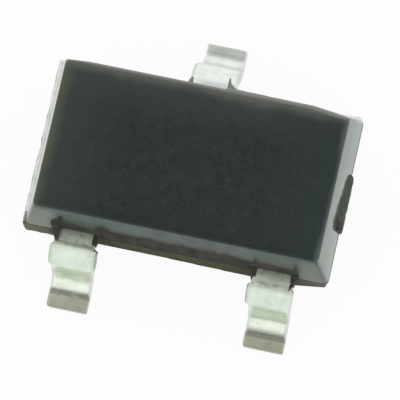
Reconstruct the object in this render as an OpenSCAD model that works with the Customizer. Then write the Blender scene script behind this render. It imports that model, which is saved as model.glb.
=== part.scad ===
// Three-lead small-outline transistor: a moulded body over a stamped lead frame, with the die and its
// bond wires inside. Millimetres. The origin lies on the board under the middle of the body: +X runs
// along the body, the two front leads point to -Y and the single back lead points to +Y.

/* [Moulded body] */
// Length of the body at its parting line
body_length = 2.92; // [2.6:0.01:3.3]
// Width of the body at its parting line
body_width = 1.62; // [1.4:0.01:1.9]
// How far the body sits behind the middle of the feet
body_shift = 0.03; // [0:0.005:0.06]
// Height of the body's top face above the board
body_top = 1.1; // [1:0.01:1.4]
// Gap between the board and the body's underside
standoff = 0.05; // [0.02:0.01:0.15]
// Height of the parting line above the board
parting_height = 0.59; // [0.5:0.01:0.7]
// Draft of the end walls above the parting line, in degrees
end_draft = 11; // [3:0.5:14]
// Draft of the front and back walls above the parting line, in degrees
side_draft = 9.5; // [3:0.5:14]
// Draft of all the walls below the parting line, in degrees
lower_draft = 6.5; // [3:0.5:12]
// Radius along the edges of the top face and of the underside
edge_radius = 0.03; // [0.01:0.005:0.06]
// How much is taken off the upright corners, measured along the diagonal
corner_cut = 0.02; // [0.01:0.005:0.06]

/* [Mould flash] */
// How far the flash on the left end and on the back stands out beyond the parting line
flash_reach = 0.03; // [0.01:0.005:0.06]
// Thickness of that flash
flash_thickness = 0.02; // [0.01:0.005:0.04]
// Width, at the wall, of the resin webs on both sides of a lead
web_width = 0.06; // [0.02:0.005:0.1]

/* [Gate scar] */
// Width of the scar that the mould's gate left on the end wall
gate_width = 0.6; // [0.3:0.01:0.9]
// How far the scar stands out beyond the parting line
gate_reach = 0.03; // [0.01:0.005:0.08]
// Height of the scar above the parting line at its front end
gate_front_height = 0.32; // [0.1:0.01:0.4]
// Height of the scar above the parting line at its back end
gate_back_height = 0.16; // [0.05:0.01:0.4]
// Distance of the scar's middle from the middle of the end wall
gate_offset = 0; // [-0.2:0.01:0.2]

/* [Formed leads] */
// Distance between the middles of the two front leads
lead_pitch = 1.9; // [1.7:0.01:2.1]
// Width of a lead
lead_width = 0.39; // [0.3:0.01:0.5]
// Height of the lead frame's underside, inside the body, above the board
frame_height = 0.53; // [0.45:0.01:0.6]
// Thickness of the lead frame's sheet
lead_thickness = 0.13; // [0.08:0.01:0.2]
// Flat shoulder between the body and the upper bend
shoulder = 0.04; // [0.03:0.005:0.2]
// Inside radius of the upper bend
upper_bend = 0.12; // [0.05:0.005:0.15]
// Inside radius of the lower bend
lower_bend = 0.15; // [0.05:0.005:0.2]
// Slope of a lead between its bends, in degrees
lead_slope = 82; // [65:1:88]
// Flat foot that is soldered to the board
foot = 0.135; // [0.1:0.005:0.4]
// How much further out the back lead is bent than the front ones
back_set_out = 0.03; // [0:0.005:0.08]
// How far the cut stubs of the dam bar stand out on each side of a lead
stub_reach = 0.03; // [0.01:0.005:0.06]

/* [Lead frame inside the body] */
// Width of the die pad
pad_width = 0.8; // [0.6:0.01:1]
// Depth of the die pad, front to back
pad_depth = 0.76; // [0.6:0.01:0.9]
// Moulding compound between the die pad and the back wall
pad_cover = 0.36; // [0.25:0.01:0.5]
// Slot between the die pad and each bond post
frame_slot = 0.16; // [0.1:0.01:0.25]
// How far a bond post reaches out past its lead, to anchor it
post_ear = 0.05; // [0.02:0.01:0.1]
// Depth of a bond post, front to back
post_depth = 0.4; // [0.25:0.01:0.6]
// Moulding compound between a bond post and the front wall
post_cover = 0.2; // [0.12:0.01:0.3]

/* [Die and bond wires] */
// Side of the square die
die_side = 0.38; // [0.25:0.01:0.5]
// Thickness of the die
die_thickness = 0.15; // [0.1:0.01:0.2]
// Thickness of the die attach layer
attach_thickness = 0.02; // [0.01:0.005:0.04]
// How far the die attach squeezes out past the die
attach_margin = 0.03; // [0.01:0.005:0.06]
// Distance between the die's two bond pads
bond_pitch = 0.2; // [0.12:0.01:0.28]
// Distance from the die's middle to the row of bond pads
bond_setback = 0.08; // [0:0.01:0.12]
// Diameter of a bond wire
wire_diameter = 0.025; // [0.018:0.001:0.05]
// Diameter of the ball bond on the die
ball_diameter = 0.07; // [0.06:0.005:0.1]
// Height of the ball bond
ball_height = 0.02; // [0.01:0.005:0.03]
// Bend radius of the wire's loop above its ball
wire_bend = 0.1; // [0.05:0.005:0.15]
// Diameter of the flattened end of the wire on its bond post
stitch_diameter = 0.08; // [0.06:0.005:0.12]
// Thickness of that flattened end
stitch_thickness = 0.008; // [0.004:0.002:0.02]

/* [Hidden] */
$fn = 48;
edge_steps = 4;
bend_steps = 12;
stub_first = 2;
stub_last = 11;
frame_top = frame_height + lead_thickness;
die_top = frame_top + attach_thickness + die_thickness;

// The body's two halves, above and below the parting line, and how far their walls draw in
upper_height = body_top - parting_height;
lower_height = parting_height - standoff;
wall_inset = upper_height * tan(end_draft);
corner_reach = (body_length + body_width) / 2 / sqrt(2) - corner_cut;

// The leads: outward places measured from the middle of the body
upper_radius = upper_bend + lead_thickness;
lower_radius = lower_bend + lead_thickness;
upper_place = body_width / 2 + shoulder;
upper_centre = [upper_place, frame_height - upper_bend];
lead_run = (upper_centre.y - lower_radius + (upper_radius + lower_bend) * cos(lead_slope)) / sin(lead_slope);
lower_place = upper_place + (upper_radius + lower_bend) * sin(lead_slope) + lead_run * cos(lead_slope);
lower_centre = [lower_place, lower_radius];
tip_place = lower_place + foot;
web_tip = upper_place + upper_radius * sin(lead_slope * stub_first / bend_steps);

// The lead frame inside the body
pad_back = body_width / 2 - pad_cover;
post_front = post_cover - body_width / 2;
post_inner = pad_width / 2 + frame_slot;
post_outer = lead_pitch / 2 + lead_width / 2 + post_ear;
post_middle = (post_inner + post_outer) / 2;
die_place = pad_back - pad_depth / 2;

function arc(centre, radius, from, to, steps) =
    [for (i = [0 : steps]) let (a = from + (to - from) * i / steps) centre + radius * [cos(a), sin(a)]];

// Distance of a drafted wall's edge arc from the middle of the body
function edge_centre(reach, height, slope) =
    reach - (height - edge_radius) * tan(slope) - edge_radius / cos(slope);

// A wall's outline from the underside, over the parting line, to the top
function wall_outline(reach, upper_draft) = concat(
    arc([edge_centre(reach, lower_height, lower_draft), standoff + edge_radius],
        edge_radius, -90, -lower_draft, edge_steps),
    [[reach, parting_height]],
    arc([edge_centre(reach, upper_height, upper_draft), body_top - edge_radius],
        edge_radius, upper_draft, 90, edge_steps));

// A corner's outline along the diagonal, where an end wall and a side wall meet
corner_outline = [
    [corner_reach - lower_height * sqrt(2) * tan(lower_draft), standoff],
    [corner_reach, parting_height],
    [corner_reach - upper_height * (tan(end_draft) + tan(side_draft)) / sqrt(2), body_top]];

function across(outline) = [for (i = [len(outline) - 1 : -1 : 0]) [-outline[i].x, outline[i].y]];

function moved(outline, out) = [for (p = outline) p + [out, 0]];

// A bend's two faces, from its level end to its sloping end
upper_outside = arc(upper_centre, upper_radius, 90, 90 - lead_slope, bend_steps);
upper_inside = arc(upper_centre, upper_bend, 90 - lead_slope, 90, bend_steps);
lower_inside = arc(lower_centre, lower_bend, 270 - lead_slope, 270, bend_steps);
lower_outside = arc(lower_centre, lower_radius, 270, 270 - lead_slope, bend_steps);

module prism(outline, length) {
    rotate([90, 0, 0])
        linear_extrude(length, center = true)
            polygon(concat(outline, across(outline)));
}

// The end walls, the side walls and the two pairs of corners, each as a prism, and what they share
module moulded_form() {
    girth = body_length + body_width;
    intersection() {
        prism(wall_outline(body_length / 2, end_draft), body_width);
        rotate(90)
            prism(wall_outline(body_width / 2, side_draft), body_length);
        rotate(45)
            prism(corner_outline, girth);
        rotate(-45)
            prism(corner_outline, girth);
    }
}

// Resin that the mould's halves squeezed out between them, along the left end and along the back
module parting_flash() {
    along = body_length / 2 - 2 * corner_cut;
    deep = body_width / 2 - 2 * corner_cut;
    translate([-body_length / 2 - flash_reach, -deep, parting_height])
        cube([flash_reach + edge_radius, 2 * deep, flash_thickness]);
    translate([-along, body_width / 2 - edge_radius, parting_height])
        cube([2 * along, edge_radius + flash_reach, flash_thickness]);
}

// Resin that filled the gap between the body's wall and the dam bar, beside a lead that points to +Y
module lead_webs(wall, set_out) {
    inner = lead_width / 2;
    outer = inner + web_width;
    for (side = [-1, 1])
        translate([0, 0, frame_height])
            linear_extrude(lead_thickness)
                polygon([[side * inner, wall - edge_radius], [side * outer, wall - edge_radius],
                         [side * outer, wall], [side * inner, web_tip + set_out]]);
}

// The broken-off gate: a low slab with blunt ends, and a top that slants from its back end to its front end
module gate_scar() {
    half = gate_width / 2;
    root = wall_inset + edge_radius;
    translate([body_length / 2, gate_offset, parting_height])
        intersection() {
            rotate([90, 0, 90])
                translate([0, 0, -root])
                    linear_extrude(root + gate_reach)
                        polygon([[-half, 0], [half, 0],
                                 [half, gate_back_height], [-half, gate_front_height]]);
            linear_extrude(gate_front_height + gate_back_height)
                polygon([[-root, -half], [0, -half], [gate_reach, gate_reach - half],
                         [gate_reach, half - gate_reach], [0, half], [-root, half]]);
        }
}

// One gull-wing lead, pointing to +Y, from a place inside the body to its tip, with its bends set out
module formed_lead(inner_place, set_out) {
    rotate([90, 0, 90]) {
        linear_extrude(lead_width, center = true)
            polygon(concat(
                [[inner_place, frame_top]], moved(concat(upper_outside, lower_inside), set_out),
                [[tip_place, lead_thickness], [tip_place, 0]],
                moved(concat(lower_outside, upper_inside), set_out), [[inner_place, frame_height]]));
        linear_extrude(lead_width + 2 * stub_reach, center = true)
            polygon(moved(concat(
                [for (i = [stub_first : stub_last]) upper_outside[i]],
                [for (i = [stub_last : -1 : stub_first]) upper_inside[bend_steps - i]]), set_out));
    }
}

// A rectangle of the lead frame's sheet inside the body
module frame_plate(corner, size) {
    translate([corner.x, corner.y, frame_height])
        cube([size.x, size.y, lead_thickness]);
}

// Turns a lead, or what goes with it, to the front; side is -1 on the left and 1 on the right
module at_front(side) {
    translate([side * lead_pitch / 2, 0, 0])
        rotate(180)
            children();
}

// A front lead with its bond post
module front_lead(side) {
    at_front(side)
        formed_lead(-post_front - post_depth / 2, 0);
    post_width = post_outer - post_inner;
    frame_plate([side * post_middle - post_width / 2, post_front], [post_width, post_depth]);
}

// A wire that rises from the middle of its ball on the die, bends over and runs down to its bond post
module bond_wire(side) {
    start = [side * bond_pitch / 2, die_place - bond_setback];
    finish = [side * post_middle, post_front + post_depth / 2];
    span = norm(finish - start);
    heading = atan2(finish.y - start.y, finish.x - start.x);
    root = die_top + ball_height / 2;
    fall = root - frame_top;
    reach = span - wire_bend;
    slope = atan2(fall, reach) + asin(wire_bend / norm([fall, reach]));
    over = wire_bend * [1 + sin(slope), cos(slope)];
    run = (span - over.x) / cos(slope);
    translate([start.x, start.y, 0])
        rotate(heading) {
            translate([0, 0, die_top])
                cylinder(d = ball_diameter, h = ball_height);
            translate([wire_bend, 0, root])
                rotate([90, 0, 0])
                    rotate([0, 0, 90 - slope])
                        rotate_extrude(angle = 90 + slope)
                            translate([wire_bend, 0])
                                circle(d = wire_diameter);
            intersection() {
                translate([over.x, 0, root + over.y])
                    rotate([0, 90 + slope, 0])
                        cylinder(d = wire_diameter, h = run + stitch_diameter);
                translate([0, -wire_diameter, frame_top])
                    cube([span + stitch_diameter, 2 * wire_diameter, body_top - frame_top]);
            }
            translate([span, 0, frame_top])
                cylinder(d = stitch_diameter, h = stitch_thickness);
        }
}

module square_slab(side, height) {
    translate([-side / 2, die_place - side / 2, 0])
        cube([side, side, height]);
}

module collector_lead() {
    color("#c3c9bd") {
        formed_lead(die_place, back_set_out);
        frame_plate([-pad_width / 2, pad_back - pad_depth], [pad_width, pad_depth]);
    }
}

module base_lead() {
    color("#c3c9bd")
        front_lead(-1);
}

module emitter_lead() {
    color("#c3c9bd")
        front_lead(1);
}

module die_attach() {
    color("#8d8f93")
        translate([0, 0, frame_top])
            square_slab(die_side + 2 * attach_margin, attach_thickness);
}

module silicon_die() {
    color("#5b6270")
        translate([0, 0, frame_top + attach_thickness])
            square_slab(die_side, die_thickness);
}

module base_bond_wire() {
    color("#d9b44a")
        bond_wire(-1);
}

module emitter_bond_wire() {
    color("#d9b44a")
        bond_wire(1);
}

// The body is moulded round the pieces that it holds, so it touches them all over
module moulded_body() {
    color("#363c3a")
        difference() {
            union() {
                translate([0, body_shift, 0]) {
                    moulded_form();
                    gate_scar();
                    parting_flash();
                }
                lead_webs(body_width / 2 + body_shift, back_set_out);
                for (side = [-1, 1])
                    at_front(side)
                        lead_webs(body_width / 2 - body_shift, 0);
            }
            collector_lead();
            base_lead();
            emitter_lead();
            die_attach();
            silicon_die();
            base_bond_wire();
            emitter_bond_wire();
        }
}

moulded_body();
collector_lead();
base_lead();
emitter_lead();
silicon_die();
die_attach();
base_bond_wire();
emitter_bond_wire();
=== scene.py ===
# %% [markdown]
# # A three-lead transistor, dressed for a close-up
# The part is three millimetres long: a black epoxy block moulded round a stamped lead frame, with two
# formed leads at the front and one at the back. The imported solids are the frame. This lesson gives the
# block and the leads the marks that moulding, cutting and plating leave on them.

# %% Load the frame
import math

import bmesh
import bpy
from mathutils import Matrix, Vector


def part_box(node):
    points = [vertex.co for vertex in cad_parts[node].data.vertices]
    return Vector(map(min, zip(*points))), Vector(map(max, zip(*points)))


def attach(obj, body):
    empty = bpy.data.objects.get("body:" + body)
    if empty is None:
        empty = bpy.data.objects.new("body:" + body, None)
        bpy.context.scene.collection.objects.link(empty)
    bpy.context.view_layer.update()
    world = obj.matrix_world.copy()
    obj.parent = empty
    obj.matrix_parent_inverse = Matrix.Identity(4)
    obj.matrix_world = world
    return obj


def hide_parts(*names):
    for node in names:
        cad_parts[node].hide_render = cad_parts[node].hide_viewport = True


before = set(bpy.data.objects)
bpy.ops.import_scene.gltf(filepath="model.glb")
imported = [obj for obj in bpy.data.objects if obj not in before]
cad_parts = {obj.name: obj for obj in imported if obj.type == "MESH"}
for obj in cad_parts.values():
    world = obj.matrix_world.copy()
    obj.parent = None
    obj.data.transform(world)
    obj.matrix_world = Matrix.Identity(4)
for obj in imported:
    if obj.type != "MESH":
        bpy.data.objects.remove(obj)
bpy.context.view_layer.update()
print("nodes", sorted(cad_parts))

# %% [markdown]
# ## Sizes
# Blender's modelling tools have thresholds that suit things as big as a chair. So each piece is modelled
# a thousand times too large, with one Blender unit for a millimetre, and is brought down to metres when
# it is done. The outer sizes are read from the solids. The few that a box can't tell are written here
# once.

# %% Sizes in millimetres
MM = 0.001
TOUCH = 1e-4  # nearer than this counts as the same place
FLASH = 0.03  # how far the solid's flash stands out at the left end
BODY_SHIFT = 0.03  # how far the body's middle lies behind the part's
HALF_WIDTH = 0.81
PARTING = 0.59  # height of the line where the halves of the mould meet
SHEET = 0.13
LEAD_WIDTH = 0.39
LEAD_PLACE = 0.95  # how far to the side a front lead stands
BACK_SET_OUT = 0.03  # how much further out the back lead bends


def box_mm(node):
    low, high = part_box(node)
    return low / MM, high / MM


body_low, body_high = box_mm("moulded_body")
pad_low, pad_high = box_mm("collector_lead")
post_low, post_high = box_mm("base_lead")
half_length = -body_low.x - FLASH
under, top = body_low.z, body_high.z
front_wall = BODY_SHIFT - HALF_WIDTH
back_wall = BODY_SHIFT + HALF_WIDTH
lead_tip = pad_high.y
frame_top = pad_high.z
frame_under = frame_top - SHEET
print("body", round(2 * half_length, 3), "by", 2 * HALF_WIDTH, "sheet from", round(frame_under, 3), "mm")

# %% [markdown]
# ## Working in edit mode by code
# By hand, faces are picked with the mouse. Here a small test picks them, by their place or by the way
# they face, and the operators then work on what is picked.

# %% Helpers for edit mode


def only(piece):
    """Makes a piece the one selected and active object."""
    bpy.ops.object.select_all(action="DESELECT")
    piece.select_set(True)
    bpy.context.view_layer.objects.active = piece


def add(operator, name, **settings):
    """Adds a primitive with nothing else selected, and names it."""
    bpy.ops.object.select_all(action="DESELECT")
    operator(**settings)
    piece = bpy.context.object
    piece.name = name
    piece.data.name = name
    return piece


def apply_place(piece):
    only(piece)
    bpy.ops.object.transform_apply(location=True, rotation=True, scale=True)


def add_block(name, middle, size):
    """Adds a block of the given size."""
    block = add(bpy.ops.mesh.primitive_cube_add, name, size=1, location=middle)
    block.scale = size
    apply_place(block)
    return block


def edit(piece):
    only(piece)
    bpy.ops.object.mode_set(mode="EDIT")


def leave_edit():
    bpy.ops.object.mode_set(mode="OBJECT")


def pick(kind, test):
    """Selects only the vertices, edges or faces that pass the test, and says how many did."""
    bpy.ops.mesh.select_mode(type=kind)
    bpy.ops.mesh.select_all(action="DESELECT")
    mesh = bmesh.from_edit_mesh(bpy.context.object.data)
    parts = {"VERT": mesh.verts, "EDGE": mesh.edges, "FACE": mesh.faces}[kind]
    chosen = [part for part in parts if test(part)]
    for part in chosen:
        part.select_set(True)
    bmesh.update_edit_mesh(bpy.context.object.data)
    return len(chosen)


def pick_all():
    bpy.ops.mesh.select_all(action="SELECT")


def face_outwards():
    """Makes all faces look outwards."""
    pick_all()
    bpy.ops.mesh.normals_make_consistent(inside=False)


def cut(place, normal, **settings):
    """Cuts the whole mesh with a plane."""
    pick_all()
    bpy.ops.mesh.bisect(plane_co=place, plane_no=normal, threshold=TOUCH, **settings)


def cut_off(place, normal):
    """Cuts the mesh with a plane, throws away what its normal points to, and closes the cut."""
    cut(place, normal, clear_outer=True, use_fill=True)


def bevel_edges(width, steps):
    bpy.ops.mesh.bevel(offset=width, segments=steps, affect="EDGES", clamp_overlap=False)


def draw_out(x=0.0, y=0.0, z=0.0):
    """Extrudes the picked faces, and moves the new ones."""
    bpy.ops.mesh.extrude_region_move(TRANSFORM_OT_translate={"value": (x, y, z)})


def finish_modifier(piece, kind, **settings):
    """Adds a modifier, sets it and applies it."""
    only(piece)
    modifier = piece.modifiers.new(kind.title(), kind)
    for key, value in settings.items():
        setattr(modifier, key, value)
    bpy.ops.object.modifier_apply(modifier=modifier.name)


def noise_texture(name, size, depth=2):
    texture = bpy.data.textures.new(name, "CLOUDS")
    texture.noise_scale = size
    texture.noise_depth = depth
    return texture


def give_finish(slot, test):
    """Gives the faces that pass the test one of the piece's finishes."""
    count = pick("FACE", test)
    bpy.context.object.active_material_index = slot
    bpy.ops.object.material_slot_assign()
    return count


def face_count(piece):
    return len(piece.data.polygons)


# %% [markdown]
# ## Camera
# The photograph was taken from nearly straight above with a long lens. The aim, the turn and the distance
# were fitted to the edges of the body and the tips of the leads.

# %% Camera
CAMERA_HEIGHT = math.radians(75.929)
CAMERA_TURN = math.radians(23.959)
CAMERA_ROLL = math.radians(-11.798)
CAMERA_DISTANCE = 52.331
PIXELS_PER_MM = 106.183
PICTURE_WIDTH = 400
CLIP_START = 0.001
CLIP_END = 10
aim = Vector((0.1017, -0.2019, 0.5))

back = Vector((math.sin(CAMERA_TURN) * math.cos(CAMERA_HEIGHT),
               -math.cos(CAMERA_TURN) * math.cos(CAMERA_HEIGHT),
               math.sin(CAMERA_HEIGHT)))
level = Vector((math.cos(CAMERA_TURN), math.sin(CAMERA_TURN), 0))
upright = back.cross(level)
right = math.cos(CAMERA_ROLL) * level + math.sin(CAMERA_ROLL) * upright
up = math.cos(CAMERA_ROLL) * upright - math.sin(CAMERA_ROLL) * level

camera_data = bpy.data.cameras.new("camera")
camera = bpy.data.objects.new("camera", camera_data)
bpy.context.scene.collection.objects.link(camera)
turn = Matrix((right, up, back)).transposed().to_4x4()
camera.matrix_world = Matrix.Translation((aim + back * CAMERA_DISTANCE) * MM) @ turn
camera_data.sensor_fit = "HORIZONTAL"
camera_data.lens = camera_data.sensor_width * CAMERA_DISTANCE * PIXELS_PER_MM / PICTURE_WIDTH
camera_data.clip_start = CLIP_START
camera_data.clip_end = CLIP_END
bpy.context.scene.camera = camera
print("lens", round(camera_data.lens, 1), "mm on a", round(camera_data.sensor_width, 1), "mm sensor")

# %% [markdown]
# ## Nodes, wired by code
# A material is a small circuit of nodes. Most helpers below add a node, feed it, and hand back the socket
# that comes out of it, so a pattern reads as a chain of calls. A mask is a value from 0 to 1 that says
# where a colour goes.

# %% Helpers for nodes


def wire(source, target):
    source.id_data.links.new(source, target)


def feed(entry, value):
    """Feeds an entry of a node from a socket, or sets it to a value."""
    if isinstance(value, bpy.types.NodeSocket):
        wire(value, entry)
    else:
        entry.default_value = value


def add_node(nodes, kind, entries):
    """Adds a node, and feeds the entries that are named."""
    node = nodes.new("ShaderNode" + kind)
    for name, value in entries.items():
        feed(node.inputs[name], value)
    return node


def grey(value):
    return (value, value, value)


def add_ramp(source, stops):
    """Turns a value into a colour by a ramp of (position, colour) stops."""
    ramp = source.id_data.nodes.new("ShaderNodeValToRGB")
    elements = ramp.color_ramp.elements
    while len(elements) < len(stops):
        elements.new(0.5)
    for element, (position, colour) in zip(elements, stops):
        element.position = position
        element.color = (*colour, 1)
    wire(source, ramp.inputs[0])
    return ramp.outputs["Color"]


def mottle(source, dark, light, low=0.3, high=0.7):
    """Turns a noise into a colour that runs from dark to light."""
    return add_ramp(source, [(low, dark), (high, light)])


def sum_up(operation, source, *values):
    """One step of arithmetic: the values are numbers or sockets."""
    step = source.id_data.nodes.new("ShaderNodeMath")
    step.operation = operation
    wire(source, step.inputs[0])
    for entry, value in zip(list(step.inputs)[1:], values):
        feed(entry, value)
    return step.outputs[0]


def wander(noise, reach):
    """Spreads a noise over a distance to both sides of nought, to make a straight border uneven."""
    return sum_up("MULTIPLY_ADD", noise, 2 * reach, -reach)


def fade(source, start, end):
    """A mask that rises smoothly from 0 where the source is start to 1 where it is end."""
    first, last = (1.0, 0.0) if start > end else (0.0, 1.0)
    limits = {"From Min": min(start, end), "From Max": max(start, end), "To Min": first, "To Max": last}
    span = add_node(source.id_data.nodes, "MapRange", {"Value": source, **limits})
    span.interpolation_type = "SMOOTHSTEP"
    return span.outputs["Result"]


def both(mask, *others):
    """A mask that is 1 only where all the given ones are."""
    for other in others:
        mask = sum_up("MULTIPLY", mask, other)
    return mask


def less(mask, share=1.0):
    """A mask that is 1 where the given one is 0, and lower by the share where it is 1."""
    return sum_up("MULTIPLY_ADD", mask, -share, 1.0)


def between(source, start, end, soft):
    """A mask that is 1 from start to end and fades over a soft margin on both sides."""
    return both(fade(source, start - soft, start), fade(source, end + soft, end))


def tint(below, mask, colour, blend="MIX"):
    """Lays a colour, or another pattern, over what is below where the mask is 1."""
    mix = mask.id_data.nodes.new("ShaderNodeMix")
    mix.data_type = "RGBA"
    mix.blend_type = blend
    entries = {entry.identifier: entry for entry in mix.inputs}
    wire(mask, entries["Factor_Float"])
    wire(below, entries["A_Color"])
    if isinstance(colour, bpy.types.NodeSocket):
        wire(colour, entries["B_Color"])
    else:
        entries["B_Color"].default_value = (*colour, 1)
    return next(out for out in mix.outputs if out.identifier == "Result_Color")


def shade(below, mask, factor):
    """Multiplies what is below by a factor for each colour where the mask is 1."""
    return tint(below, mask, factor, "MULTIPLY")


# %% [markdown]
# ## Floor and light
# A small part like this is photographed in a white tent: soft light comes from all round, and only the
# patch of sky above, where the lens looks in, is darker. The level faces mirror that patch and look grey,
# and the bent and sloping ones mirror the bright cloth. So the world is a gradient, dim overhead and
# bright lower down.

# %% Floor and light
FLOOR_SIZE = 0.6
FLOOR_DROP = 0.000002
FLOOR_WHITE = 0.95
CAMERA_WHITE = 0.94
MIRROR_WHITE = 0.95
TENT = [(0.0, 1.0), (0.766, 1.0), (0.866, 0.9), (0.927, 0.6), (0.966, 0.38), (0.99, 0.25)]


def mix_shaders(share, first, second, out):
    """Mixes two shaders by a share, and sends them to the output."""
    mix = share.id_data.nodes.new("ShaderNodeMixShader")
    wire(share, mix.inputs[0])
    wire(first.outputs[0], mix.inputs[1])
    wire(second.outputs[0], mix.inputs[2])
    wire(mix.outputs[0], out.inputs[0])


def white_floor():
    floor = add(bpy.ops.mesh.primitive_plane_add, "floor", size=FLOOR_SIZE, location=(0, 0, -FLOOR_DROP))
    material = bpy.data.materials.new("white_floor")
    material.use_nodes = True
    nodes = material.node_tree.nodes
    nodes.clear()
    paper = add_node(nodes, "BsdfDiffuse", {"Color": (*grey(FLOOR_WHITE), 1)})
    glow = nodes.new("ShaderNodeEmission")
    rays = nodes.new("ShaderNodeLightPath")
    share = sum_up("MULTIPLY", rays.outputs["Is Camera Ray"], CAMERA_WHITE)
    share = sum_up("MULTIPLY_ADD", rays.outputs["Is Glossy Ray"], MIRROR_WHITE, share)
    share = sum_up("MULTIPLY_ADD", rays.outputs["Is Transmission Ray"], CAMERA_WHITE, share)
    mix_shaders(share, paper, glow, nodes.new("ShaderNodeOutputMaterial"))
    floor.data.materials.append(material)


def light_tent():
    world = bpy.data.worlds.new("light_tent")
    bpy.context.scene.world = world
    world.use_nodes = True
    nodes = world.node_tree.nodes
    nodes.clear()
    direction = nodes.new("ShaderNodeTexCoord")
    parts = add_node(nodes, "SeparateXYZ", {"Vector": direction.outputs["Generated"]})
    cloth = add_ramp(parts.outputs["Z"], [(place, grey(value)) for place, value in TENT])
    tent = add_node(nodes, "Background", {"Color": cloth})
    page = add_node(nodes, "Background", {"Color": (*grey(1), 1)})
    rays = nodes.new("ShaderNodeLightPath")
    mix_shaders(rays.outputs["Is Camera Ray"], tent, page, nodes.new("ShaderNodeOutputWorld"))


white_floor()
light_tent()
bpy.context.scene.view_settings.view_transform = "Standard"
print("floor and tent made")

# %% [markdown]
# ## Finishes
# Moulding compound is epoxy filled with powdered silica. Its skin copies the mould: the top face is matt,
# the walls slid out of a polished cavity, and where resin was torn off it shows its dull inside. Every
# pattern is laid out in millimetres on the object itself, so it stays put when the object turns.

# %% A material in millimetres


class Finish:
    """A material with its coordinates in millimetres."""

    def __init__(self, name):
        self.material = bpy.data.materials.new(name)
        self.material.use_nodes = True
        self.nodes = self.material.node_tree.nodes
        self.shader = self.nodes["Principled BSDF"]
        source = self.nodes.new("ShaderNodeTexCoord")
        self.place = self.squeezed(source.outputs["Object"], grey(1 / MM))
        self.x, self.y, self.z = add_node(self.nodes, "SeparateXYZ", {"Vector": self.place}).outputs

    def squeezed(self, place, factors):
        """Scales the coordinates, unevenly for a pattern that runs in streaks."""
        return add_node(self.nodes, "Mapping", {"Vector": place, "Scale": factors}).outputs[0]

    def noise(self, per_mm, detail=3.0, rough=0.5, place=None):
        entries = {"Vector": place or self.place, "Scale": per_mm, "Detail": detail, "Roughness": rough}
        return add_node(self.nodes, "TexNoise", entries).outputs[0]

    def streaks(self, per_mm, detail, factors):
        """A noise drawn out into streaks."""
        return self.noise(per_mm, detail, place=self.squeezed(self.place, factors))

    def set(self, entry, value):
        """Sets one entry of the shader, to a number or to what a socket gives."""
        feed(self.shader.inputs[entry], value)

    def bump(self, height, strength, distance):
        entries = {"Strength": strength, "Distance": distance * MM, "Height": height}
        self.set("Normal", add_node(self.nodes, "Bump", entries).outputs[0])

    def mould_skin(self):
        """The faint unevenness that a polished cavity leaves on a wall."""
        self.bump(self.noise(45, detail=5, rough=0.6), strength=0.3, distance=0.003)

    def done(self):
        print("finish", self.material.name, "of", len(self.nodes), "nodes")
        return self.material


# %% [markdown]
# ### Matt top face
# The top of the cavity is left rough, so that the top face comes out matt, with the powder as fine grain
# in it. Along three of its edges the face is paler. On the back edge the margin, the rim and its left
# corner carry a painted highlight, where the rounded rim catches the light. One could paint the margins
# by hand. Here each is laid on by its distance from the edge, so it follows the block's own sizes.

# %% Matt top face
END_DRAFT = math.radians(11)
SIDE_DRAFT = math.radians(9.5)
top_edge_x = half_length - (top - PARTING) * math.tan(END_DRAFT)
top_edge_y = back_wall - (top - PARTING) * math.tan(SIDE_DRAFT)

# A skin has two colours that a noise runs between, dark and light
TOP_SKIN = ((0.004, 0.0105, 0.011), (0.012, 0.018, 0.0155))
POWDER = (0.024, 0.034, 0.033)
TOP_WANDER = 0.06

# A margin: how far from the edge it is gone, how far from the edge it is full, and its colour
LEFT_BROAD_MARGIN = (0.8, 0.0, (0.024, 0.032, 0.028))
BACK_BROAD_MARGIN = (0.5, 0.0, (0.03, 0.037, 0.032))
RIGHT_BROAD_MARGIN = (top_edge_x - 0.5, 0.0, (0.0095, 0.0215, 0.0205))
LEFT_MARGIN = (0.14, -0.02, (0.062, 0.074, 0.04))
RIGHT_MARGIN = (0.05, -0.02, (0.066, 0.087, 0.08))
# Painted highlight along the back edge of the top: the margin, the rim and the rim's left corner
BACK_PAINTED_HIGHLIGHT = (0.15, -0.01, (0.1, 0.108, 0.09))
BACK_RIM_PAINTED_HIGHLIGHT = (0.04, 0.0, (0.22, 0.235, 0.21))
BACK_CORNER_PAINTED_HIGHLIGHT = (0.07, 0.01, (0.3, 0.31, 0.27))
RIM_TURN = 0.9
RIM_LEAN = 0.04


def distance_to(source, edge, way):
    """The distance that is left to an edge, in the direction of plus (1) or minus (-1)."""
    return sum_up("MULTIPLY_ADD", source, -way, way * edge)


def margin(below, place, gone, full, colour):
    """Lays a colour over what is below, rising from where it is gone to where it is full."""
    return tint(below, fade(place, gone, full), colour)


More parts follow.
